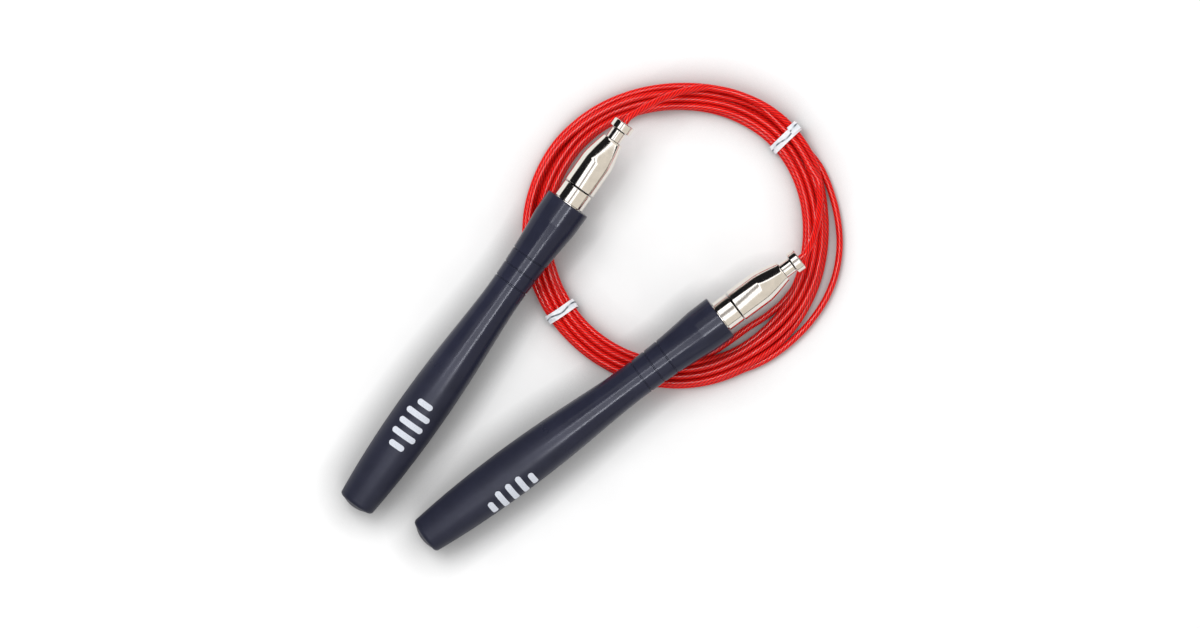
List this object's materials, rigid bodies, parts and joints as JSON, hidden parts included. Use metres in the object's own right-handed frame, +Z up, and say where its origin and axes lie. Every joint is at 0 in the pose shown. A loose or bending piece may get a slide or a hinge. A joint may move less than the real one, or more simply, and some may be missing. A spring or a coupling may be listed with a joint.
{
  "type": "jump rope",
  "caption": "Speed jump rope laid flat: hourglass plastic grips with bullet-shaped metal ball-bearing heads, on a coated steel cable wound into a flat coil held by ties.",
  "frame": {"origin": "on the surface that the rope lies on, under the middle of the box round the two handles", "axes": "+Z up from that surface; +Y towards the left handle's tip end of the layout; +X to the right as seen from above"},
  "size_m": [0.1906, 0.1781, 0.0236],
  "materials": {
    "grip_plastic": "satin moulded navy-black",
    "nickel_plate": "polished warm nickel",
    "cable_coat": "glossy translucent red over stranded wire",
    "tie_plastic": "thin glossy white",
    "bearing_steel": "ground",
    "cage_brass": "pressed",
    "turned_brass": "turned",
    "spring_steel": "tempered",
    "black_screw": "black oxide"
  },
  "bodies": {
    "root": {"left_grip": "grip_plastic", "left_ferrule": "nickel_plate", "left_bearing_housing": "nickel_plate", "left_bearing_spacer": "turned_brass", "left_rear_outer_race": "bearing_steel", "left_front_outer_race": "bearing_steel", "right_grip": "grip_plastic", "right_ferrule": "nickel_plate", "right_bearing_housing": "nickel_plate", "right_bearing_spacer": "turned_brass", "right_rear_outer_race": "bearing_steel", "right_front_outer_race": "bearing_steel", "cable_coil": "cable_coat", "cable_left_tail": "cable_coat", "cable_right_tail": "cable_coat", "cable_outer_turn": "cable_coat", "cable_inner_turn": "cable_coat", "upper_tie": "tie_plastic", "lower_tie": "tie_plastic"},
    "left_swivel": {"left_spindle": "nickel_plate", "left_tip_cap": "nickel_plate", "left_retaining_ring": "spring_steel", "left_cable_stop": "turned_brass", "left_set_screw": "black_screw", "left_cable_end": "cable_coat", "left_rear_inner_race": "bearing_steel", "left_front_inner_race": "bearing_steel"},
    "left_rear_balls": {"left_rear_ball_cage": "cage_brass"},
    "left_front_balls": {"left_front_ball_cage": "cage_brass"},
    "right_swivel": {"right_spindle": "nickel_plate", "right_tip_cap": "nickel_plate", "right_retaining_ring": "spring_steel", "right_cable_stop": "turned_brass", "right_set_screw": "black_screw", "right_cable_end": "cable_coat", "right_rear_inner_race": "bearing_steel", "right_front_inner_race": "bearing_steel"},
    "right_rear_balls": {"right_rear_ball_cage": "cage_brass"},
    "right_front_balls": {"right_front_ball_cage": "cage_brass"}
  },
  "joints": [
    {"name": "left_swivel_spin", "type": "hinge", "parent": "root", "child": "left_swivel", "pos_m": [0.01973, 0.08006, 0.01655], "axis": [0.5771, 0.8151, 0.0499], "continuous": true},
    {"name": "left_rear_balls_spin", "type": "hinge", "parent": "root", "child": "left_rear_balls", "pos_m": [0.01973, 0.08006, 0.01655], "axis": [0.5771, 0.8151, 0.0499], "continuous": true},
    {"name": "left_front_balls_spin", "type": "hinge", "parent": "root", "child": "left_front_balls", "pos_m": [0.01973, 0.08006, 0.01655], "axis": [0.5771, 0.8151, 0.0499], "continuous": true},
    {"name": "right_swivel_spin", "type": "hinge", "parent": "root", "child": "right_swivel", "pos_m": [0.08583, 0.02876, 0.01619], "axis": [0.8019, 0.5955, 0.0476], "continuous": true},
    {"name": "right_rear_balls_spin", "type": "hinge", "parent": "root", "child": "right_rear_balls", "pos_m": [0.08583, 0.02876, 0.01619], "axis": [0.8019, 0.5955, 0.0476], "continuous": true},
    {"name": "right_front_balls_spin", "type": "hinge", "parent": "root", "child": "right_front_balls", "pos_m": [0.08583, 0.02876, 0.01619], "axis": [0.8019, 0.5955, 0.0476], "continuous": true}
  ],
  "couplings": [
    {"joint": "left_rear_balls_spin", "follows": "left_swivel_spin", "ratio": 0.4},
    {"joint": "left_front_balls_spin", "follows": "left_swivel_spin", "ratio": 0.4},
    {"joint": "right_rear_balls_spin", "follows": "right_swivel_spin", "ratio": 0.4},
    {"joint": "right_front_balls_spin", "follows": "right_swivel_spin", "ratio": 0.4}
  ]
}
